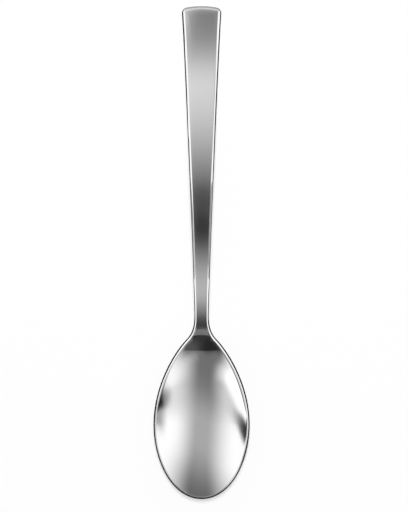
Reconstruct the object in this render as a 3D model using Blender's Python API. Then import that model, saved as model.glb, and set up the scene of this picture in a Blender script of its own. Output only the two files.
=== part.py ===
"""Dessert spoon, one piece of stainless steel, lying on a table with its bowl open upwards.

X runs across the spoon and Y along it, from the tip of the bowl to the end of the handle.
Z is up, and the origin lies on the table, under the middle of the spoon. Sizes are in metres.
A station is a distance along the spoon from the tip of the bowl. An inset is a distance in from
the outline, square to it.
"""

import bmesh
import bpy
import numpy as np

# Outline, seen from above
LENGTH = 0.185
BOWL_WIDTH = 0.036
BOWL_WIDEST_STATION = 0.0279
SHOULDER_WIDTH = 0.011
SHOULDER_STATION = 0.060
SHOULDER_SLOPE = 0.96
NECK_WIDTH = 0.0053
NECK_STATION = 0.069
END_WIDTH = 0.0148
END_CROWN = 0.0005
END_FACE_CORNER_RADIUS = 0.0006

# How far each curve of the outline keeps to its tangent, and the handle's flare at its end
TIP_REACH = 0.0109
BOWL_REACH = 0.014
SHOULDER_REACH_TO_BOWL = 0.0056
SHOULDER_REACH_TO_NECK = 0.0022
NECK_REACH_TO_BOWL = 0.0038
NECK_REACH_TO_HANDLE = 0.011
END_REACH = 0.0162
END_FLARE = 0.067

# Side view of the rim and of the handle's face: each rise is measured from the one before
RIM_LEVEL_REACH = 0.048
SHOULDER_RISE = 0.0031
SHOULDER_CLIMB = 0.52
SHOULDER_TOP_STATION = 0.0612
CLIMB_REACH_TO_BOWL = 0.005
CLIMB_REACH_TO_NECK = 0.0008
NECK_RISE = 0.0025
NECK_CLIMB = 0.28
ARCH_STATION = 0.104
ARCH_RISE = 0.0041
ARCH_REACH = 0.032
FOOT_REACH = 0.025
FOOT_LENGTH = 0.008

# Bowl: its dish fades out at the shoulder, and its polish ends where the handle's satin begins
BOWL_DEPTH = 0.0074
BOWL_WALL = 0.0014
DISH_FULL_STATION = 0.0555
DISH_END_STATION = 0.0625
SATIN_STATION = 0.064

# Thickness at the edge
RIM_THICKNESS = 0.0014
RIM_THICKENING_STATION = 0.040
NECK_THICKNESS = 0.0036
END_THICKNESS = 0.0025

# Bevel of the edge: its inset and its fall round the bowl, and at three places after it
RIM_BEVEL, RIM_BEVEL_FALL = 0.0008, 0.0011
SHOULDER_BEVEL, SHOULDER_BEVEL_FALL = 0.0011, 0.0014
NECK_BEVEL, NECK_BEVEL_FALL = 0.0008, 0.00078
END_BEVEL, END_BEVEL_FALL = 0.0013, 0.0011
BEVEL_ROUNDING = 0.3

# Edge: the band that leads from the bevel to the face, and the rounding below the bevel
TIP_BAND = 0.0002
RIM_BAND = 0.0004
RIM_BAND_DROP = 0.0003
RIM_UNDER_INSET = 0.0005
HANDLE_BAND = 0.0003
HANDLE_UNDER_INSET = 0.0011
EDGE_CHANGE_STATION = 0.056

# Handle's face: how far in from the outline it starts to fall, and how far it falls there
FACE_EASE = 0.0038
FACE_EASE_FALL = 0.00025

# Mesh: points along each curve of the outline, and rows from the middle of the face to the back's
TIP_POINTS = 18
BOWL_POINTS = 18
SHOULDER_POINTS = 8
HANDLE_POINTS = 28
CORNER_POINTS = 6
END_POINTS = 4
FACE_ROWS = 9
BAND_ROWS = 2
BEVEL_ROWS = 6
UNDER_ROWS = 4
BACK_ROWS = 9
PROFILE_POINTS = 200
LOOP_FINENESS = 12
CREASE_ANGLE = np.radians(30)
MERGE_DISTANCE = 0.00001

# Mesh: how far its middle line stays from the tip and from the end, and where it starts to lag
SPINE_FROM_TIP = 0.0125
SPINE_FROM_END = 0.007
SPINE_LAG = 0.015


def bezier(start, start_reach, end_reach, end, count):
    """Points along a cubic curve in a plane and its normals to the right, without its end point.

    A reach is the vector from an end of the curve to its control point.
    """
    a, d = np.array(start), np.array(end)
    b, c = a + start_reach, d + end_reach
    t = np.linspace(0, 1, count, endpoint=False)[:, None]
    points = (1 - t) ** 3 * a + 3 * (1 - t) ** 2 * t * b + 3 * (1 - t) * t ** 2 * c + t ** 3 * d
    along = (1 - t) ** 2 * (b - a) + 2 * (1 - t) * t * (c - b) + t ** 2 * (d - c)
    along /= np.linalg.norm(along, axis=1, keepdims=True)
    return points, np.stack((along[:, 1], -along[:, 0]), axis=1)


def right_turn(end, radius, start_heading, end_heading, count):
    """Points and normals of an arc that turns right until it reaches its end, without its end point.

    A heading is the angle of the way along the arc, from the first axis towards the second.
    """
    headings = np.append(np.linspace(start_heading, end_heading, count, endpoint=False), end_heading)
    normals = np.stack((np.sin(headings), -np.cos(headings)), axis=1)
    centre = end + radius * normals[-1]
    return (centre - radius * normals)[:-1], normals[:-1]


def smooth_step(value, start, end):
    """0 at start and 1 at end, level at both."""
    share = np.clip((value - start) / (end - start), 0, 1)
    return share * share * (3 - 2 * share)


def along_edge(bowl_value, handle_value, station):
    """A size of the edge that changes from the bowl's to the handle's along the shoulder."""
    share = smooth_step(station, EDGE_CHANGE_STATION, NECK_STATION)
    return bowl_value + (handle_value - bowl_value) * share


def bevel_inset(station):
    """Inset of the bevel: wide at the shoulder and at the end, and narrow at the neck."""
    places = (BOWL_WIDEST_STATION, SHOULDER_STATION, NECK_STATION, LENGTH)
    return np.interp(station, places, (RIM_BEVEL, SHOULDER_BEVEL, NECK_BEVEL, END_BEVEL))


def bevel_fall(station):
    """Fall of the bevel from the face to the side."""
    places = (BOWL_WIDEST_STATION, SHOULDER_STATION, NECK_STATION, LENGTH)
    return np.interp(
        station, places, (RIM_BEVEL_FALL, SHOULDER_BEVEL_FALL, NECK_BEVEL_FALL, END_BEVEL_FALL))


def band_inset(station):
    """Inset of the band inside the bevel: least at the tip, full from the bowl's widest place on."""
    full = smooth_step(station, 0, BOWL_WIDEST_STATION)
    return along_edge(TIP_BAND + (RIM_BAND - TIP_BAND) * full, HANDLE_BAND, station)


def band_drop(station):
    """Drop of the band's inner border: none at the tip, full from the bowl's widest place on."""
    full = smooth_step(station, 0, BOWL_WIDEST_STATION)
    return along_edge(RIM_BAND_DROP * full, 0, station)


def edge_insets(station):
    """Insets of the bevel, of the band inside it and of the rounding below."""
    return (
        bevel_inset(station),
        band_inset(station),
        along_edge(RIM_UNDER_INSET, HANDLE_UNDER_INSET, station),
    )


def face_ease(inset, station):
    """Fall of the handle's face towards its edge."""
    return along_edge(0, FACE_EASE_FALL, station) * np.maximum(1 - inset / FACE_EASE, 0) ** 2


def half_outline(fineness=1):
    """(station, half width) and inward unit normals, from the tip round the bowl to the end.

    The fineness multiplies the points along each curve.
    """
    radius = END_FACE_CORNER_RADIUS + END_BEVEL + HANDLE_BAND
    crown_slope = 2 * END_CROWN / (END_WIDTH / 2 - radius)
    flare_heading = np.arctan(END_FLARE)
    crown_heading = np.arctan(crown_slope) - np.pi / 2
    crown_half = END_WIDTH / 2 - radius * (np.cos(flare_heading) - np.cos(crown_heading))
    tip = (0, 0)
    widest = (BOWL_WIDEST_STATION, BOWL_WIDTH / 2)
    shoulder = (SHOULDER_STATION, SHOULDER_WIDTH / 2)
    neck = (NECK_STATION, NECK_WIDTH / 2)
    crown = (LENGTH - crown_slope * crown_half / 2, crown_half)
    end = (LENGTH, 0)
    corner = right_turn(crown, radius, flare_heading, crown_heading, CORNER_POINTS * fineness)
    tip_side, neck_side = np.array((-1, 0)), np.array((1, 0))
    fall = np.array((1, -SHOULDER_SLOPE))
    flare = np.array((1, END_FLARE))
    crown_reach = crown_half / 3
    curves = (
        bezier(tip, (0, TIP_REACH), tip_side * BOWL_REACH, widest, TIP_POINTS * fineness),
        bezier(widest, neck_side * BOWL_REACH, -fall * SHOULDER_REACH_TO_BOWL, shoulder,
               BOWL_POINTS * fineness),
        bezier(shoulder, fall * SHOULDER_REACH_TO_NECK, tip_side * NECK_REACH_TO_BOWL, neck,
               SHOULDER_POINTS * fineness),
        bezier(neck, neck_side * NECK_REACH_TO_HANDLE, -flare * END_REACH, corner[0][0],
               HANDLE_POINTS * fineness),
        corner,
        bezier(crown, (crown_slope * crown_reach, -crown_reach), (0, crown_reach), end,
               END_POINTS * fineness),
        ((end,), ((-1, 0),)),
    )
    return [np.vstack(arrays) for arrays in zip(*curves)]


def spine_stations(outline):
    """For each point of the outline, the station on the middle line that it is joined to."""
    steps = np.linalg.norm(np.diff(outline, axis=0), axis=1)
    travelled = np.concatenate(((0,), np.cumsum(steps)))
    stations = outline[:, 0].copy()
    lag = np.searchsorted(stations, LENGTH - SPINE_LAG)
    front, back = slice(0, TIP_POINTS + 1), slice(lag, None)
    stations[front] = np.interp(
        travelled[front], travelled[[0, TIP_POINTS]], (SPINE_FROM_TIP, BOWL_WIDEST_STATION))
    stations[back] = np.interp(
        travelled[back], travelled[[lag, -1]], (stations[lag], LENGTH - SPINE_FROM_END))
    return stations


def thickness(station):
    """Thickness at the edge: thin at the rim, thickest at the neck, thinner again to the end."""
    rise = smooth_step(station, RIM_THICKENING_STATION, NECK_STATION)
    fall = smooth_step(station, NECK_STATION, LENGTH - FOOT_LENGTH)
    at_neck = RIM_THICKNESS + (NECK_THICKNESS - RIM_THICKNESS) * rise
    return at_neck + (END_THICKNESS - NECK_THICKNESS) * fall


def rim_profile(tip_height):
    """(station, height) of the rim and of the handle's face, seen from the side.

    Four cubic curves: nearly level along the bowl, steepest at the shoulder, over the arch and down
    to the foot.
    """
    tip = (0, tip_height)
    shoulder = (SHOULDER_TOP_STATION, tip_height + SHOULDER_RISE)
    neck = (NECK_STATION, shoulder[1] + NECK_RISE)
    arch = (ARCH_STATION, neck[1] + ARCH_RISE)
    foot = (LENGTH - FOOT_LENGTH, END_THICKNESS)
    neck_reach = (ARCH_STATION - NECK_STATION) / 3
    climb = np.array((1, SHOULDER_CLIMB))
    slope = np.array((1, NECK_CLIMB))
    curves = (
        bezier(tip, (RIM_LEVEL_REACH, 0), -climb * CLIMB_REACH_TO_BOWL, shoulder, PROFILE_POINTS),
        bezier(shoulder, climb * CLIMB_REACH_TO_NECK, -slope * CLIMB_REACH_TO_NECK, neck, PROFILE_POINTS),
        bezier(neck, slope * neck_reach, (-neck_reach, 0), arch, PROFILE_POINTS),
        bezier(arch, (ARCH_REACH, 0), (-FOOT_REACH, 0), foot, PROFILE_POINTS),
    )
    return np.vstack([curve[0] for curve in curves] + [foot, (LENGTH, END_THICKNESS)])


def dish(loop, depth, station, across):
    """Depth of a bowl inside a loop: parabolic across it, and none from the shoulder on.

    On the middle line the depth goes with the square of the loop's width.
    """
    half_width = np.interp(station, loop[:, 0], loop[:, 1])
    fade = smooth_step(station, DISH_END_STATION, DISH_FULL_STATION)
    return fade * depth * np.maximum(half_width ** 2 - across ** 2, 0) / loop[:, 1].max() ** 2


def half_surface():
    """Rows of points over one half of the spoon, from the middle of its face to that of its back.

    Each row follows the outline at one inset. The face is dished in the bowl and nearly flat along
    the handle. A band and a rounded bevel lead from it down to the back, which follows the face.
    """
    outline, normals = half_outline()
    station = outline[:, 0]
    spine = np.stack((spine_stations(outline), np.zeros(len(outline))), axis=1)
    bevel, band, under = edge_insets(station)
    fall = bevel_fall(station)
    below_bevel = thickness(station) - fall - face_ease(0, station)
    face_loop = outline + normals * (bevel + band)[:, None]
    back_loop = outline + normals * under[:, None]

    fine_outline, fine_normals = half_outline(LOOP_FINENESS)
    fine_bevel, fine_band, fine_under = edge_insets(fine_outline[:, 0])
    bowl_edge = fine_outline + fine_normals * (fine_bevel + fine_band)[:, None]
    back_edge = fine_outline + fine_normals * fine_under[:, None]
    back_depth = BOWL_DEPTH + RIM_BAND_DROP + BOWL_WALL - RIM_THICKNESS

    keel = rim_profile(0)
    keel = keel[keel[:, 0] < NECK_STATION]
    keel[:, 1] -= thickness(keel[:, 0]) + dish(back_edge, back_depth, keel[:, 0], 0)
    rim = rim_profile(-keel[:, 1].min())

    def points(plan, below_rim):
        height = np.interp(plan[:, 0], rim[:, 0], rim[:, 1]) - below_rim
        return np.stack((plan[:, 1], plan[:, 0] - LENGTH / 2, height), axis=1)

    rows = []
    for share in np.linspace(0, 1, FACE_ROWS, endpoint=False):
        plan = spine + (face_loop - spine) * share
        inset = bevel + band + np.linalg.norm(face_loop - plan, axis=1)
        drop = band_drop(plan[:, 0]) + face_ease(inset, plan[:, 0])
        rows.append(points(plan, drop + dish(bowl_edge, BOWL_DEPTH, plan[:, 0], plan[:, 1])))
    for share in np.linspace(1, 0, BAND_ROWS, endpoint=False):
        inset = bevel + band * share
        plan = outline + normals * inset[:, None]
        drop = band_drop(plan[:, 0]) * share ** 2
        rows.append(points(plan, drop + face_ease(inset, plan[:, 0])))
    section = bezier((1, 0), (-BEVEL_ROUNDING, 0), (0, -BEVEL_ROUNDING), (0, 1), BEVEL_ROWS)[0]
    for across, down in section:
        inset = bevel * across
        plan = outline + normals * inset[:, None]
        rows.append(points(plan, fall * down + face_ease(inset, plan[:, 0])))
    for turn in np.linspace(np.pi / 2, np.pi, UNDER_ROWS, endpoint=False):
        plan = outline + normals * (under * (1 - np.sin(turn)))[:, None]
        rows.append(points(plan, thickness(plan[:, 0]) - below_bevel * (1 + np.cos(turn))))
    for share in np.linspace(1, 0, BACK_ROWS):
        plan = spine + (back_loop - spine) * share
        depth = dish(back_edge, back_depth, plan[:, 0], plan[:, 1])
        rows.append(points(plan, thickness(plan[:, 0]) + depth))
    return np.array(rows)


def steel(name, colour, roughness):
    """Bare stainless steel with one finish."""
    material = bpy.data.materials.new(name)
    material.use_nodes = True
    shader = material.node_tree.nodes["Principled BSDF"]
    shader.inputs["Base Color"].default_value = (*colour, 1)
    shader.inputs["Metallic"].default_value = 1
    shader.inputs["Roughness"].default_value = roughness
    return material


def spoon():
    """The half surface as quads, mirrored over the middle plane, with a satin face and back."""
    rows = half_surface()
    edge_rows = range(FACE_ROWS, FACE_ROWS + BAND_ROWS + BEVEL_ROWS + UNDER_ROWS)
    polished, satin = 0, 1
    bm = bmesh.new()
    grid = [[bm.verts.new(point) for point in row] for row in rows]
    for j, (row, next_row) in enumerate(zip(grid, grid[1:])):
        for i in range(len(row) - 1):
            face = bm.faces.new((row[i], next_row[i], next_row[i + 1], row[i + 1]))
            on_handle = grid[0][i].co.y + LENGTH / 2 > SATIN_STATION
            face.material_index = satin if on_handle and j not in edge_rows else polished
    mesh = bpy.data.meshes.new("spoon")
    bm.to_mesh(mesh)
    bm.free()
    mesh.shade_smooth()
    mesh.set_sharp_from_angle(angle=CREASE_ANGLE)
    mesh.materials.append(steel("polished_steel", (0.66, 0.66, 0.65), 0.05))
    mesh.materials.append(steel("satin_steel", (0.60, 0.60, 0.59), 0.28))
    obj = bpy.data.objects.new("spoon", mesh)
    bpy.context.scene.collection.objects.link(obj)
    mirror = obj.modifiers.new("other half", "MIRROR")
    mirror.merge_threshold = MERGE_DISTANCE


def main():
    for obj in list(bpy.data.objects):
        bpy.data.objects.remove(obj)
    spoon()


main()
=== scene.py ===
"""Dessert spoon of stainless steel: its fine surface, its finishes and the studio around it.

X runs across the spoon and Y along it, from the tip of the bowl to the end of the handle. Z is up,
and the table is at 0. Sizes are in metres. A station is a distance along the spoon from its tip.
An inset is a distance in from the outline, square to it.
"""

import bpy
import numpy as np
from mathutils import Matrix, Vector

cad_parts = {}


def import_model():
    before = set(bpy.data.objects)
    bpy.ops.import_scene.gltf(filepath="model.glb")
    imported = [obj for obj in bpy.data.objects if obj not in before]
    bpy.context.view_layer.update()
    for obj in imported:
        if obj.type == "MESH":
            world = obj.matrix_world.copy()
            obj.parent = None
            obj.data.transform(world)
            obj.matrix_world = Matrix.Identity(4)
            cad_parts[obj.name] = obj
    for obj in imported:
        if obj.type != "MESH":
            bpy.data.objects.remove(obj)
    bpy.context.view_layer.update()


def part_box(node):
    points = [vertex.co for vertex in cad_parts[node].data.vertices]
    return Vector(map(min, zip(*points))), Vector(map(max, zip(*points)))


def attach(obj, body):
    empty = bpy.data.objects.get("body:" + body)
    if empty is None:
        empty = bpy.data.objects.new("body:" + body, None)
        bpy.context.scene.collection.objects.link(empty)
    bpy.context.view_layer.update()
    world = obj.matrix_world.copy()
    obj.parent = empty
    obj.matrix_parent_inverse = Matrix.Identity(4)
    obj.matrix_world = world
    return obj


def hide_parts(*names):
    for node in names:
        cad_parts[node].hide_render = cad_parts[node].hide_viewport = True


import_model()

# Outline, seen from above
LOW, HIGH = np.array(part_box("spoon"))
BOWL_WIDTH, LENGTH, HEIGHT = HIGH - LOW
BOWL_WIDEST_STATION = 0.0279
SHOULDER_WIDTH = 0.011
SHOULDER_STATION = 0.060
SHOULDER_SLOPE = 0.96
NECK_WIDTH = 0.0053
NECK_STATION = 0.069
END_WIDTH = 0.0148
END_CROWN = 0.0005
END_FACE_CORNER_RADIUS = 0.0006

# How far each curve of the outline keeps to its tangent, and the handle's flare at its end
TIP_REACH = 0.0109
BOWL_REACH = 0.014
SHOULDER_REACH_TO_BOWL = 0.0056
SHOULDER_REACH_TO_NECK = 0.0022
NECK_REACH_TO_BOWL = 0.0038
NECK_REACH_TO_HANDLE = 0.011
END_REACH = 0.0162
END_FLARE = 0.067

# Side view of the rim and of the handle's face: each rise is measured from the one before
RIM_LEVEL_REACH = 0.048
SHOULDER_RISE = 0.0031
SHOULDER_CLIMB = 0.52
SHOULDER_TOP_STATION = 0.0612
CLIMB_REACH_TO_BOWL = 0.005
CLIMB_REACH_TO_NECK = 0.0008
NECK_RISE = 0.0025
NECK_CLIMB = 0.28
ARCH_STATION = 0.104
ARCH_RISE = 0.0041
ARCH_REACH = 0.032
FOOT_REACH = 0.025
FOOT_LENGTH = 0.008

# Bowl: its dish fades out between two stations at the shoulder
BOWL_DEPTH = 0.0074
BOWL_WALL = 0.0014
DISH_FULL_STATION = 0.0555
DISH_END_STATION = 0.0625

# Thickness at the edge
RIM_THICKNESS = 0.0014
RIM_THICKENING_STATION = 0.040
NECK_THICKNESS = 0.0036
END_THICKNESS = 0.0025

# Bevel of the edge: its inset and its fall round the bowl, and at three places after it
RIM_BEVEL, RIM_BEVEL_FALL = 0.0008, 0.0011
SHOULDER_BEVEL, SHOULDER_BEVEL_FALL = 0.0011, 0.0014
NECK_BEVEL, NECK_BEVEL_FALL = 0.0008, 0.00078
END_BEVEL, END_BEVEL_FALL = 0.0013, 0.0011
BEVEL_ROUNDING = 0.3

# Edge: the band that leads from the bevel to the face, and the rounding below the bevel
TIP_BAND = 0.0002
TIP_BAND_DROP = 0.00008
RIM_BAND = 0.0004
RIM_BAND_DROP = 0.0003
RIM_BAND_STATION = 0.042
RIM_UNDER_INSET = 0.0005
HANDLE_BAND = 0.0003
HANDLE_UNDER_INSET = 0.0011
EDGE_CHANGE_STATION = 0.056

# Handle's face: how far in from the outline it starts to fall, and how far it falls there
FACE_EASE = 0.0038
FACE_EASE_FALL = 0.00025

# Depth of the bowl's back, below the rim's lower border
BACK_DEPTH = BOWL_DEPTH + RIM_BAND_DROP + BOWL_WALL - RIM_THICKNESS

# Finish: where the handle's satin starts and how softly. Scales are waves in a metre along each axis.
# A roughness or level of the steel is given with the most that buffing or grain changes it by.
SATIN_STATION = 0.0638
SATIN_SOFTNESS = 0.00012
GRAIN_SCALE = (7000, 70, 7000)
BUFFING_SCALE = (260, 160, 260)
POLISHED_ROUGHNESS, BUFFING_ROUGHNESS = 0.07, 0.05
SATIN_ROUGHNESS, GRAIN_ROUGHNESS = 0.26, 0.10
STEEL_LEVEL, BUFFING_LEVEL, GRAIN_LEVEL = 0.66, 0.015, 0.03
GRAIN_BUMP, GRAIN_DEPTH = 0.12, 0.00002

# Mesh: points along each curve of the outline, and rows from the middle of the face to the back's
CURVE_POINTS = {"tip": 110, "bowl": 110, "shoulder": 64, "handle": 140, "corner": 24, "end": 20}
FACE_ROWS = 40
BAND_ROWS = 5
BEVEL_ROWS = 18
UNDER_ROWS = 10
BACK_ROWS = 22
PROFILE_POINTS = 400
SPINE_FROM_TIP = 0.0125
SPINE_FROM_END = 0.007
SPINE_LAG = 0.015

# Camera: straight above, and the part of the table that the picture shows
PICTURE_HEIGHT = 0.19150
PICTURE_CENTRE = (0.00109, -0.00148)
LENS = 280
SENSOR = 36

# Light: a soft box, the point of the middle line it is turned to, and the fill from all sides
LAMP_PLACE = (0, 0.19, 1.6)
LAMP_TARGET = -0.06
LAMP_SIZE = (0.15, 0.32)
LAMP_POWER = 25
FILL_LEVEL = 0.2
WHITE = (1, 1, 1, 1)

# Table top, a little below the spoon: what is seen of it is white by a share, which grows to 1
# between two squared distances
TABLE_REACH = 20
TABLE_DEPTH = 0.0004
TABLE_LEVEL = 0.86
TABLE_WHITE = 0.6
TABLE_WHITER_FROM, TABLE_WHITER_TO = 0.03, 1

# Tent around everything, and the points of a ring of the tent or of the dark card
TENT_RADIUS = 2
TENT_TURN = np.radians(-10)
TENT_RINGS = 32
RING_POINTS = 96

# Screen over the handle: its start droops, and its grades are places in millimetres with a level
SCREEN_CLEARANCE = 0.013
SCREEN_LEFT = -0.011
SCREEN_RIGHT = 0.011
SCREEN_START = -0.0338
SCREEN_DROOP = 0.005
SCREEN_DROOP_LENGTH = 0.014
SCREEN_END = 0.11
SCREEN_POINTS = 80
SCREEN_GRADES = (
    (-31.4, 0.0), (-21, 0.63), (-8, 0.43), (4, 0.04), (15, 0.04), (31, 0.22), (67, 0.95), (75.5, 0.89),
    (83, 0.31))

# Dark card under the spoon: an ellipse just above the table top, with a small hole in its middle
CARD_HALF_WIDTH = 0.18
CARD_HALF_LENGTH = 0.32
CARD_HOLE = 0.02
CARD_DEPTH = 0.0002

# Cards that stand beside the handle: name, level, x, and y and bottom edge at the start and the end
SIDE_CARD_HEIGHT = 0.0275
SIDE_CARDS = (
    ("left_neck_card", 1.5, -0.026, (-0.040, 0.0125), (-0.014, 0.0125)),
    ("right_neck_card", 1.5, 0.026, (-0.040, 0.0125), (-0.014, 0.0125)),
    ("right_arch_card", 0.42, 0.026, (-0.010, 0.0180), (0.030, 0.0180)),
    ("left_end_card", 1.5, -0.030, (0.050, 0.0078), (0.0915, 0.0028)),
)


class Number:
    """A socket that carries a number. An expression on it adds its Math nodes."""

    def __init__(self, tree, socket):
        self.tree = tree
        self.socket = socket

    def math(self, operation, *operands):
        node = self.tree.nodes.new("ShaderNodeMath")
        node.operation = operation
        for entry, operand in zip(node.inputs, operands):
            if isinstance(operand, Number):
                self.tree.links.new(operand.socket, entry)
            else:
                entry.default_value = operand
        return Number(self.tree, node.outputs[0])

    def __add__(self, other):
        return self.math("ADD", self, other)

    def __sub__(self, other):
        return self.math("SUBTRACT", self, other)

    def __rsub__(self, other):
        return self.math("SUBTRACT", other, self)

    def __mul__(self, other):
        return self.math("MULTIPLY", self, other)

    def __truediv__(self, other):
        return self.math("DIVIDE", self, other)

    __radd__ = __add__
    __rmul__ = __mul__

    def towards(self, other, share):
        """This number, moved towards another by a share of the way."""
        return self + (other - self) * share


class Shading:
    """The node tree of a material or of the world."""

    def __init__(self, owner):
        owner.use_nodes = True
        self.tree = owner.node_tree
        self.tree.nodes.clear()

    def node(self, kind, settings=None, inputs=None):
        """A node of one kind: its settings first, then the values or links of its sockets."""
        node = self.tree.nodes.new(kind)
        for name, value in (settings or {}).items():
            setattr(node, name, value)
        for name, value in (inputs or {}).items():
            source = value.socket if isinstance(value, Number) else value
            if isinstance(source, bpy.types.NodeSocket):
                self.tree.links.new(source, node.inputs[name])
            else:
                node.inputs[name].default_value = source
        return node

    def number(self, socket):
        return Number(self.tree, socket)

    def place(self):
        """Object coordinates as a vector and as three numbers."""
        vector = self.node("ShaderNodeTexCoord").outputs["Object"]
        parts = self.node("ShaderNodeSeparateXYZ", inputs={"Vector": vector})
        return vector, *(self.number(output) for output in parts.outputs)

    def step(self, value, start, end):
        """0 at start and 1 at end, level at both."""
        node = self.node(
            "ShaderNodeMapRange", {"interpolation_type": "SMOOTHSTEP"},
            {"Value": value, "From Min": start, "From Max": end})
        return self.number(node.outputs["Result"])

    def spot(self, u, v, middle_u, middle_v, reach_u, reach_v):
        """1 in the middle of an ellipse and 0 from its border on."""
        off_u, off_v = (u - middle_u) / reach_u, (v - middle_v) / reach_v
        return 1 - self.step(off_u * off_u + off_v * off_v, 0, 1)

    def seen(self):
        """1 for what the camera, a reflection or a view through glass meets."""
        path = self.node("ShaderNodeLightPath").outputs
        names = ("Is Camera Ray", "Is Glossy Ray", "Is Transmission Ray")
        return sum(self.number(path[name]) for name in names)

    def noise(self, vector, scale, detail):
        """Noise from 0 to 1 with its own scale along each axis."""
        mapping = self.node("ShaderNodeMapping", inputs={"Vector": vector, "Scale": scale})
        node = self.node(
            "ShaderNodeTexNoise", inputs={"Vector": mapping.outputs[0], "Scale": 1, "Detail": detail})
        return self.number(node.outputs["Fac"])

    def grades(self, value, start, end, stops):
        """A level that follows stops, each a value between start and end and a level."""
        node = self.node("ShaderNodeValToRGB", inputs={"Fac": (value - start) / (end - start)})
        ramp = node.color_ramp
        ramp.interpolation = "CARDINAL"
        while len(ramp.elements) < len(stops):
            ramp.elements.new(1)
        for element, (place, level) in zip(ramp.elements, stops):
            element.position = (place - start) / (end - start)
            element.color = (level, level, level, 1)
        return self.number(node.outputs["Color"])

    def grey(self, level):
        """A neutral colour of a level."""
        node = self.node("ShaderNodeCombineColor", inputs={"Red": level, "Green": level, "Blue": level})
        return node.outputs[0]

    def end(self, kind, shader):
        self.node(f"ShaderNodeOutput{kind}", inputs={"Surface": shader})

    def glow(self, colour, strength=1):
        """Ends a material that shows its own colour, whatever light falls on it."""
        light = self.node("ShaderNodeEmission", inputs={"Color": colour, "Strength": strength})
        self.end("Material", light.outputs[0])


def bezier(start, start_reach, end_reach, end, count):
    """Points along a cubic curve in a plane and its normals to the right, without its end point.

    A reach is the vector from an end of the curve to its control point.
    """
    a, d = np.array(start), np.array(end)
    b, c = a + start_reach, d + end_reach
    t = np.linspace(0, 1, count, endpoint=False)[:, None]
    points = (1 - t) ** 3 * a + 3 * (1 - t) ** 2 * t * b + 3 * (1 - t) * t ** 2 * c + t ** 3 * d
    along = (1 - t) ** 2 * (b - a) + 2 * (1 - t) * t * (c - b) + t ** 2 * (d - c)
    along /= np.linalg.norm(along, axis=1, keepdims=True)
    return points, np.stack((along[:, 1], -along[:, 0]), axis=1)


def right_turn(end, radius, start_heading, end_heading, count):
    """Points and normals of an arc that turns right until it reaches its end, without its end point.

    A heading is the angle of the way along the arc, from the first axis towards the second.
    """
    headings = np.append(np.linspace(start_heading, end_heading, count, endpoint=False), end_heading)
    normals = np.stack((np.sin(headings), -np.cos(headings)), axis=1)
    centre = end + radius * normals[-1]
    return (centre - radius * normals)[:-1], normals[:-1]


def smooth_step(value, start, end):
    """0 at start and 1 at end, level at both."""
    share = np.clip((value - start) / (end - start), 0, 1)
    return share * share * (3 - 2 * share)


def closed_quads(index):
    """Quads between rows of point numbers, where each row closes into a ring."""
    after = np.roll(index, -1, axis=1)
    return np.stack((index[:-1], index[1:], after[1:], after[:-1]), axis=2).reshape(-1, 4)


def along_edge(bowl_value, handle_value, station):
    """A size of the edge that changes from the bowl's to the handle's along the shoulder."""
    share = smooth_step(station, EDGE_CHANGE_STATION, NECK_STATION)
    return bowl_value + (handle_value - bowl_value) * share


def along_bevel(sizes, station):
    """A size of the bevel: even round the bowl, then straight between shoulder, neck and end."""
    places = (BOWL_WIDEST_STATION, SHOULDER_STATION, NECK_STATION, LENGTH)
    return np.interp(station, places, sizes)


def along_band(tip_value, rim_value, handle_value, station):
    """A size of the band inside the bevel: it grows past the widest place, up to the shoulder."""
    share = smooth_step(station, BOWL_WIDEST_STATION, RIM_BAND_STATION)
    return along_edge(tip_value + (rim_value - tip_value) * share, handle_value, station)


def band_drop(station):
    """Drop of the band's inner border: slight round the tip, full at the shoulder, then none."""
    return along_band(TIP_BAND_DROP, RIM_BAND_DROP, 0, station)


def half_outline():
    """(station, half width) and inward unit normals, from the tip round the bowl to the end.

    Four cubic curves run to the widest place, the shoulder, the neck and the flared end. An arc
    turns the end's corner, and a flat curve crowns the end.
    """
    radius = END_FACE_CORNER_RADIUS + END_BEVEL + HANDLE_BAND
    crown_slope = 2 * END_CROWN / (END_WIDTH / 2 - radius)
    flare_heading = np.arctan(END_FLARE)
    crown_heading = np.arctan(crown_slope) - np.pi / 2
    crown_half = END_WIDTH / 2 - radius * (np.cos(flare_heading) - np.cos(crown_heading))
    tip = (0, 0)
    widest = (BOWL_WIDEST_STATION, BOWL_WIDTH / 2)
    shoulder = (SHOULDER_STATION, SHOULDER_WIDTH / 2)
    neck = (NECK_STATION, NECK_WIDTH / 2)
    crown = (LENGTH - crown_slope * crown_half / 2, crown_half)
    end = (LENGTH, 0)
    count = CURVE_POINTS
    corner = right_turn(crown, radius, flare_heading, crown_heading, count["corner"])
    tip_side, neck_side = np.array((-1, 0)), np.array((1, 0))
    fall = np.array((1, -SHOULDER_SLOPE))
    flare = np.array((1, END_FLARE))
    crown_reach = crown_half / 3
    curves = (
        bezier(tip, (0, TIP_REACH), tip_side * BOWL_REACH, widest, count["tip"]),
        bezier(widest, neck_side * BOWL_REACH, -fall * SHOULDER_REACH_TO_BOWL, shoulder, count["bowl"]),
        bezier(shoulder, fall * SHOULDER_REACH_TO_NECK, tip_side * NECK_REACH_TO_BOWL, neck,
               count["shoulder"]),
        bezier(neck, neck_side * NECK_REACH_TO_HANDLE, -flare * END_REACH, corner[0][0],
               count["handle"]),
        corner,
        bezier(crown, (crown_slope * crown_reach, -crown_reach), (0, crown_reach), end, count["end"]),
        ((end,), ((-1, 0),)),
    )
    return [np.vstack(arrays) for arrays in zip(*curves)]


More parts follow.
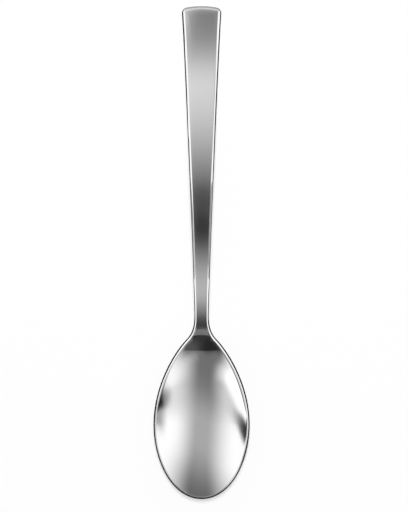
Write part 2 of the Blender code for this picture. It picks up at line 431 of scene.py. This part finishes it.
def spine_stations(outline):
    """For each point of the outline, the station on the middle line that it is joined to.

    It is the point's own station, apart from both ends, where it goes evenly with the way
    travelled along the outline.
    """
    steps = np.linalg.norm(np.diff(outline, axis=0), axis=1)
    travelled = np.concatenate(((0,), np.cumsum(steps)))
    stations = outline[:, 0].copy()
    widest = CURVE_POINTS["tip"]
    lag = np.searchsorted(stations, LENGTH - SPINE_LAG)
    front, back = slice(0, widest + 1), slice(lag, None)
    stations[front] = np.interp(
        travelled[front], travelled[[0, widest]], (SPINE_FROM_TIP, BOWL_WIDEST_STATION))
    stations[back] = np.interp(
        travelled[back], travelled[[lag, -1]], (stations[lag], LENGTH - SPINE_FROM_END))
    return stations


def thickness(station):
    """Thickness at the edge: thin at the rim, thickest at the neck, thinner again to the end."""
    rise = smooth_step(station, RIM_THICKENING_STATION, NECK_STATION)
    fall = smooth_step(station, NECK_STATION, LENGTH - FOOT_LENGTH)
    at_neck = RIM_THICKNESS + (NECK_THICKNESS - RIM_THICKNESS) * rise
    return at_neck + (END_THICKNESS - NECK_THICKNESS) * fall


def rim_profile(tip_height):
    """(station, height) of the rim and of the handle's face, seen from the side.

    Four cubic curves: nearly level along the bowl, steepest at the shoulder, over the arch and down
    to the foot.
    """
    tip = (0, tip_height)
    shoulder = (SHOULDER_TOP_STATION, tip_height + SHOULDER_RISE)
    neck = (NECK_STATION, shoulder[1] + NECK_RISE)
    arch = (ARCH_STATION, neck[1] + ARCH_RISE)
    foot = (LENGTH - FOOT_LENGTH, END_THICKNESS)
    neck_reach = (ARCH_STATION - NECK_STATION) / 3
    climb = np.array((1, SHOULDER_CLIMB))
    slope = np.array((1, NECK_CLIMB))
    curves = (
        bezier(tip, (RIM_LEVEL_REACH, 0), -climb * CLIMB_REACH_TO_BOWL, shoulder, PROFILE_POINTS),
        bezier(shoulder, climb * CLIMB_REACH_TO_NECK, -slope * CLIMB_REACH_TO_NECK, neck, PROFILE_POINTS),
        bezier(neck, slope * neck_reach, (-neck_reach, 0), arch, PROFILE_POINTS),
        bezier(arch, (ARCH_REACH, 0), (-FOOT_REACH, 0), foot, PROFILE_POINTS),
    )
    return np.vstack([curve[0] for curve in curves] + [foot, (LENGTH, END_THICKNESS)])


def dish(loop, depth, station, across):
    """Depth of a bowl inside a loop: parabolic across it, and none from the shoulder on.

    On the middle line the depth goes with the square of the loop's width.
    """
    half_width = np.interp(station, loop[:, 0], loop[:, 1])
    fade = smooth_step(station, DISH_END_STATION, DISH_FULL_STATION)
    return fade * depth * np.maximum(half_width ** 2 - across ** 2, 0) / loop[:, 1].max() ** 2


def side_view(back_loop):
    """The rim's profile, as high as it is when the bowl's keel touches the table."""
    keel = rim_profile(0)
    keel = keel[keel[:, 0] < NECK_STATION]
    keel[:, 1] -= thickness(keel[:, 0]) + dish(back_loop, BACK_DEPTH, keel[:, 0], 0)
    return rim_profile(-keel[:, 1].min())


def half_surface():
    """Rows of points over one half of the spoon, the share of satin at each, and the side view.

    A point is a function of its row, from the middle of the face to the middle of the back, and of
    its column along the outline. Face and back rows lie between the middle line and a loop inside
    the outline; band, bevel and under rows lie at an inset. The bevel is a cubic curve, and the
    rounding below it a quarter of an ellipse. Heights are the side view's, less the dish, the
    band's drop, the face's ease or the edge's fall.
    """
    outline, normals = half_outline()
    station = outline[:, 0]
    spine = np.stack((spine_stations(outline), np.zeros(len(outline))), axis=1)
    bevel = along_bevel((RIM_BEVEL, SHOULDER_BEVEL, NECK_BEVEL, END_BEVEL), station)
    fall = along_bevel(
        (RIM_BEVEL_FALL, SHOULDER_BEVEL_FALL, NECK_BEVEL_FALL, END_BEVEL_FALL), station)
    band = along_band(TIP_BAND, RIM_BAND, HANDLE_BAND, station)
    under = along_edge(RIM_UNDER_INSET, HANDLE_UNDER_INSET, station)
    face_loop = outline + normals * (bevel + band)[:, None]
    back_loop = outline + normals * under[:, None]
    rim = side_view(back_loop)

    def inset_rows(insets):
        return outline + normals * insets[:, :, None]

    def ease(insets, stations):
        return along_edge(0, FACE_EASE_FALL, stations) * np.maximum(1 - insets / FACE_EASE, 0) ** 2

    share = np.linspace(0, 1, FACE_ROWS, endpoint=False)[:, None]
    face = spine + (face_loop - spine) * share[:, :, None]
    face_inset = np.linalg.norm(face_loop - spine, axis=1) * (1 - share)
    face_drop = band_drop(face[:, :, 0])
    face_drop += dish(face_loop, BOWL_DEPTH, face[:, :, 0], face[:, :, 1])
    face_drop += ease(bevel + band + face_inset, face[:, :, 0])
    share = np.linspace(1, 0, BAND_ROWS, endpoint=False)[:, None]
    flat_inset = bevel + band * share
    flat = inset_rows(flat_inset)
    flat_drop = band_drop(flat[:, :, 0]) * share ** 2 + ease(flat_inset, flat[:, :, 0])
    section = bezier((1, 0), (-BEVEL_ROUNDING, 0), (0, -BEVEL_ROUNDING), (0, 1), BEVEL_ROWS)[0]
    upper_inset = bevel * section[:, :1]
    upper = inset_rows(upper_inset)
    upper_drop = fall * section[:, 1:] + ease(upper_inset, upper[:, :, 0])
    turn = np.linspace(np.pi / 2, np.pi, UNDER_ROWS, endpoint=False)[:, None]
    lower = inset_rows(under * (1 - np.sin(turn)))
    side_fall = fall + ease(0, station)
    lower_drop = thickness(lower[:, :, 0]) - (thickness(station) - side_fall) * (1 + np.cos(turn))
    share = np.linspace(1, 0, BACK_ROWS)[:, None]
    back = spine + (back_loop - spine) * share[:, :, None]
    back_drop = thickness(back[:, :, 0]) + dish(back_loop, BACK_DEPTH, back[:, :, 0], back[:, :, 1])

    plan = np.concatenate((face, flat, upper, lower, back))
    drop = np.concatenate((face_drop, flat_drop, upper_drop, lower_drop, back_drop))
    height = np.interp(plan[:, :, 0], rim[:, 0], rim[:, 1]) - drop
    points = np.stack((plan[:, :, 1], plan[:, :, 0] - LENGTH / 2, height), axis=2)
    satin = np.ones(height.shape)
    polished = slice(FACE_ROWS + BAND_ROWS, FACE_ROWS + BAND_ROWS + BEVEL_ROWS + UNDER_ROWS)
    satin[polished] = 0
    return points, satin, rim


def spoon():
    """Both halves as one closed skin: each row runs down the right side and back up the left.

    The left side mirrors the right, and the two share their points on the middle line.
    """
    points, satin, rim = half_surface()
    columns = satin.shape[1]
    mirrored = slice(columns - 2, 0, -1)
    left = points[:, mirrored] * (-1, 1, 1)
    points = np.concatenate((points, left), axis=1)
    satin = np.concatenate((satin, satin[:, mirrored]), axis=1)
    index = np.arange(satin.size).reshape(satin.shape)
    index[[0, -1], columns:] = index[[0, -1], mirrored]
    used, index = np.unique(index, return_inverse=True)
    quads = closed_quads(index.reshape(satin.shape))
    mesh = bpy.data.meshes.new("spoon_skin")
    mesh.from_pydata(points.reshape(-1, 3)[used], [], quads)
    mesh.attributes.new("satin", "FLOAT", "POINT").data.foreach_set("value", satin.ravel()[used])
    mesh.shade_smooth()
    mesh.materials.append(stainless_steel())
    obj = bpy.data.objects.new("spoon_skin", mesh)
    bpy.context.scene.collection.objects.link(obj)
    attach(obj, "root")
    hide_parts("spoon")
    return rim


def stainless_steel():
    """Mirror polish in the bowl and along the edges, fine lengthwise satin on face and back.

    Faint cloudy buffing is all over the steel. Long thin grain is in the satin alone.
    """
    material = bpy.data.materials.new("stainless_steel_finish")
    shading = Shading(material)
    vector, _, y, _ = shading.place()
    attribute = shading.node("ShaderNodeAttribute", {"attribute_name": "satin"})
    handle_start = SATIN_STATION - LENGTH / 2
    on_handle = shading.step(y, handle_start - SATIN_SOFTNESS, handle_start + SATIN_SOFTNESS)
    satin = shading.number(attribute.outputs["Fac"]) * on_handle
    grain = shading.noise(vector, GRAIN_SCALE, 3)
    buffing = shading.noise(vector, BUFFING_SCALE, 4)
    polished = POLISHED_ROUGHNESS + BUFFING_ROUGHNESS * buffing
    brushed = SATIN_ROUGHNESS + GRAIN_ROUGHNESS * grain
    level = STEEL_LEVEL + GRAIN_LEVEL * (grain - 1) * satin + BUFFING_LEVEL * buffing
    bump = shading.node("ShaderNodeBump", inputs={
        "Strength": GRAIN_BUMP, "Distance": GRAIN_DEPTH, "Height": grain * satin})
    shader = shading.node("ShaderNodeBsdfPrincipled", inputs={
        "Base Color": shading.grey(level), "Metallic": 1, "Roughness": polished.towards(brushed, satin),
        "Normal": bump.outputs[0]})
    shading.end("Material", shader.outputs[0])
    return material


def stage_object(name, points, faces, material):
    """A thing of the studio that isn't part of the spoon."""
    mesh = bpy.data.meshes.new(name)
    mesh.from_pydata(points, [], faces)
    mesh.materials.append(material)
    obj = bpy.data.objects.new(name, mesh)
    bpy.context.scene.collection.objects.link(obj)
    return obj


def only_in_reflections(obj):
    obj.visible_camera = False
    obj.visible_diffuse = False
    obj.visible_shadow = False
    obj.visible_transmission = False


def floor():
    """A pale table top, seen nearly white but keeping the spoon's shadow, and white far from it."""
    material = bpy.data.materials.new("pale_table")
    shading = Shading(material)
    matt = shading.node("ShaderNodeBsdfPrincipled", inputs={
        "Base Color": (TABLE_LEVEL, TABLE_LEVEL, TABLE_LEVEL, 1), "Roughness": 1, "Specular IOR Level": 0})
    white = shading.node("ShaderNodeEmission", inputs={"Color": WHITE, "Strength": 1})
    _, x, y, _ = shading.place()
    far = shading.step(x * x + y * y, TABLE_WHITER_FROM, TABLE_WHITER_TO)
    share = shading.seen() * (TABLE_WHITE + (1 - TABLE_WHITE) * far)
    surface = shading.node("ShaderNodeMixShader", inputs={
        0: share, 1: matt.outputs[0], 2: white.outputs[0]})
    shading.end("Material", surface.outputs[0])
    signs = ((-1, -1), (1, -1), (1, 1), (-1, 1))
    corners = [(TABLE_REACH * right, TABLE_REACH * back, -TABLE_DEPTH) for right, back in signs]
    stage_object("table", corners, [(0, 1, 2, 3)], material)


def tent():
    """A dome of white, grey and dark panels around the spoon, which only its reflections show.

    A point of the dome is a function of its bearing and its height angle.
    """
    bearing = np.linspace(0, 2 * np.pi, RING_POINTS, endpoint=False)
    rise = np.linspace(0, np.pi / 2, TENT_RINGS, endpoint=False)[:, None]
    rings = np.stack((
        np.cos(rise) * np.cos(bearing), np.cos(rise) * np.sin(bearing), np.sin(rise) + 0 * bearing), axis=2)
    points = np.concatenate((rings.reshape(-1, 3), ((0, 0, 1),))) * TENT_RADIUS
    index = np.arange(TENT_RINGS * RING_POINTS).reshape(TENT_RINGS, RING_POINTS)
    top = np.full(RING_POINTS, len(points) - 1)
    cap = np.stack((index[-1], top, np.roll(index[-1], -1)), axis=1)
    obj = stage_object("tent", points, closed_quads(index).tolist() + cap.tolist(), tent_panels())
    obj.rotation_euler.z = TENT_TURN
    only_in_reflections(obj)


def tent_panels():
    """Grey overhead, darker low down before the bowl, and white sides with dark gaps.

    Along is the angle from overhead towards the handle's end, and across that towards +X, both in
    degrees. Every panel is laid over those before it: the level moves towards the panel's own by a
    share, which is a product of soft steps or a soft spot. A dished bowl mirrors what is across from
    each wall, so its left wall shows the panels on +X, and its tip those over the handle.
    """
    material = bpy.data.materials.new("tent_panels")
    shading = Shading(material)
    _, x, y, z = shading.place()
    along = y.math("ARCTAN2", y, z) * np.degrees(1)
    across = x.math("ARCSINE", x / TENT_RADIUS) * np.degrees(1)
    step, spot = shading.step, shading.spot

    # Bands along the tent that several panels share: what the tip mirrors, and what the bowl mirrors
    # from its middle up to the shoulder
    tip = step(along, 22, 54)
    near = step(along, -20, -42)
    dim = step(along, -20, -38) * step(along, -54, -44)
    brow = step(along, -42.5, -47)
    low = step(along, -43, -54)

    # Overhead: grey, darker towards both ends, and nearly dark beyond a border that leans
    overhead = step(along, -44, -8) * (1 - step(along, 10, 54))
    lean = 6 * step(across, 0, -24)
    level = 0.24 + 0.34 * overhead - 0.035 * tip
    level = level - 0.21 * step(along + lean, -47, -52) + 0.09 * low * step(across, 2, 24)
    level = level + 0.2 * spot(across, along, 24, -45, 16, 2.5)

    # Behind the handle's end: white, and grey down at the table
    level = level.towards(1.3, step(along, 60, 72))
    level = level.towards(0.6, step(along, 77, 83))

    # Bowl's left wall: a white panel, a darker skirt below it, a dim spot and a black gap
    left = 1.1 + 0.4 * step(along, -25, 5) + 0.34 * step(along, -33, -41)
    left_start = 8 + 12 * low + 16 * brow + 4 * tip
    level = level.towards(left, step(across, left_start, 59 + 4 * low + 7 * tip))
    skirt = 0.55 - 0.5 * step(along, -40, -52)
    level = level.towards(skirt, step(across, 64, 78) * (1 - step(along, 10, 45)))
    level = level.towards(0.28, spot(across, along, 82, -30, 26, 22))
    level = level.towards(0, step(across, 69, 75) * step(along, -54, -44) * step(along, -14, -24))

    # Bowl's right wall: a white panel, a slanting streak in it, and dark spots cut off along a slant
    right = 1.5 - 0.55 * dim
    right_start = -10 + 4 * dim - 10 * low - 5 * tip
    level = level.towards(right, step(across, right_start, -68 + 24 * near - 11 * tip))
    slant = along - 0.42 * across
    level = level + 0.4 * step(slant, -43, -40) * step(slant, -33, -38) * step(across, -12, -30)
    cut = step(along - 0.9 * across, 0, 8)
    level = level.towards(0.55, cut * spot(across, along, -74, -44, 26, 16))
    level = level.towards(0.02, cut * spot(across, along + 0.4 * (across + 75), -80, -46, 22, 34))
    level = level.towards(0, step(across, -74, -80) * step(along, -36, -50))

    # Steepest part of the right wall, below the shoulder: nearly black down at the table
    level = level.towards(0, 0.9 * step(along, -70, -78) * step(across, 0, -20))
    shading.glow(shading.grey(level))
    return material


def screen(rim):
    """A graded strip that hangs over the handle, which only its reflections show.

    Its height is the handle's and a clearance, less a droop at its start, as a function of the place
    along the spoon; the place across it is the other parameter. It is paler along its left border,
    most of all near the handle's end, and past that end.
    """
    y = np.linspace(SCREEN_START, SCREEN_END, SCREEN_POINTS)
    z = np.interp(y + LENGTH / 2, rim[:, 0], rim[:, 1]) + SCREEN_CLEARANCE
    z -= SCREEN_DROOP * smooth_step(y, SCREEN_START + SCREEN_DROOP_LENGTH, SCREEN_START)
    points = np.concatenate([
        np.stack((np.full_like(y, side), y, z), axis=1) for side in (SCREEN_LEFT, SCREEN_RIGHT)])
    first = np.arange(SCREEN_POINTS - 1)
    second = first + SCREEN_POINTS
    quads = np.stack((first, first + 1, second + 1, second), axis=1)
    material = bpy.data.materials.new("graded_screen")
    shading = Shading(material)
    _, x, y, _ = shading.place()
    step = shading.step
    level = shading.grades(y * 1000, SCREEN_START * 1000, SCREEN_END * 1000, SCREEN_GRADES)
    level = level + 0.15 * step(x, -0.0045, -0.010)
    level = level + 0.5 * step(x, -0.001, -0.009) * step(y, 0.078, 0.089)
    level = level + 0.6 * step(y, 0.0930, 0.097)
    shading.glow(shading.grey(level))
    only_in_reflections(stage_object("handle_screen", points, quads.tolist(), material))


def card():
    """A dark card on the table, soft towards its border, which only the spoon's reflections show.

    A point is a function of its bearing and of its share of the way out to an ellipse. The card is
    paler under the bowl, under the handle and past the handle's end.
    """
    bearing = np.linspace(0, 2 * np.pi, RING_POINTS, endpoint=False)
    share = np.array((CARD_HOLE, 1))[:, None]
    across, along = CARD_HALF_WIDTH * np.cos(bearing), CARD_HALF_LENGTH * np.sin(bearing)
    rings = np.stack((share * across, share * along, 0 * share * bearing - CARD_DEPTH), axis=2)
    index = np.arange(2 * RING_POINTS).reshape(2, RING_POINTS)
    material = bpy.data.materials.new("dark_card")
    shading = Shading(material)
    _, x, y, _ = shading.place()
    off_x, off_y = x / CARD_HALF_WIDTH, y / CARD_HALF_LENGTH
    level = 0.03 + 0.85 * shading.step(off_x * off_x + off_y * off_y, 0.3, 1)
    level = level + 0.5 * shading.step(y, 0.0925, 0.0965)
    level = level + 0.3 * shading.spot(x, y, 0, -0.062, 0.019, 0.034)
    level = level + 0.3 * shading.spot(x, y, 0, 0.035, 0.012, 0.085)
    shading.glow(shading.grey(level))
    only_in_reflections(
        stage_object("dark_card", rings.reshape(-1, 3), closed_quads(index).tolist(), material))


def side_cards():
    """Flat upright cards beside the handle, which only the spoon's reflections show."""
    for name, level, x, (start, start_bottom), (end, end_bottom) in SIDE_CARDS:
        material = bpy.data.materials.new(name)
        Shading(material).glow(WHITE, level)
        points = [(x, start, start_bottom), (x, end, end_bottom),
                  (x, end, end_bottom + SIDE_CARD_HEIGHT), (x, start, start_bottom + SIDE_CARD_HEIGHT)]
        only_in_reflections(stage_object(name, points, [(0, 1, 2, 3)], material))


def world():
    """White where the camera or a reflection sees it, a soft fill for everything else."""
    studio = bpy.data.worlds.new("studio")
    bpy.context.scene.world = studio
    shading = Shading(studio)
    fill = shading.node("ShaderNodeBackground", inputs={
        "Color": (FILL_LEVEL, FILL_LEVEL, FILL_LEVEL, 1), "Strength": 1})
    white = shading.node("ShaderNodeBackground", inputs={"Color": WHITE, "Strength": 1})
    surface = shading.node("ShaderNodeMixShader", inputs={
        0: shading.seen(), 1: fill.outputs[0], 2: white.outputs[0]})
    shading.end("World", surface.outputs[0])


def lamp():
    """A narrow soft box high over the handle, turned to the bowl: its shadow falls past the tip."""
    light = bpy.data.lights.new("soft_box", "AREA")
    light.shape = "RECTANGLE"
    light.size, light.size_y = LAMP_SIZE
    light.energy = LAMP_POWER
    obj = bpy.data.objects.new("soft_box", light)
    obj.location = LAMP_PLACE
    obj.rotation_euler.x = -np.arctan2(obj.location.y - LAMP_TARGET, obj.location.z)
    obj.visible_glossy = False
    bpy.context.scene.collection.objects.link(obj)


def camera():
    """Looks straight down, with the handle's end at the top of the picture."""
    view = bpy.data.cameras.new("camera")
    view.lens = LENS
    view.sensor_width = SENSOR
    view.sensor_fit = "AUTO"
    view.clip_start = 0.01
    obj = bpy.data.objects.new("camera", view)
    distance = PICTURE_HEIGHT * LENS / SENSOR
    obj.location = (*PICTURE_CENTRE, distance + HEIGHT / 2)
    bpy.context.scene.collection.objects.link(obj)
    bpy.context.scene.camera = obj


def main():
    bpy.context.scene.view_settings.view_transform = "Standard"
    rim = spoon()
    floor()
    tent()
    screen(rim)
    card()
    side_cards()
    world()
    lamp()
    camera()


main()
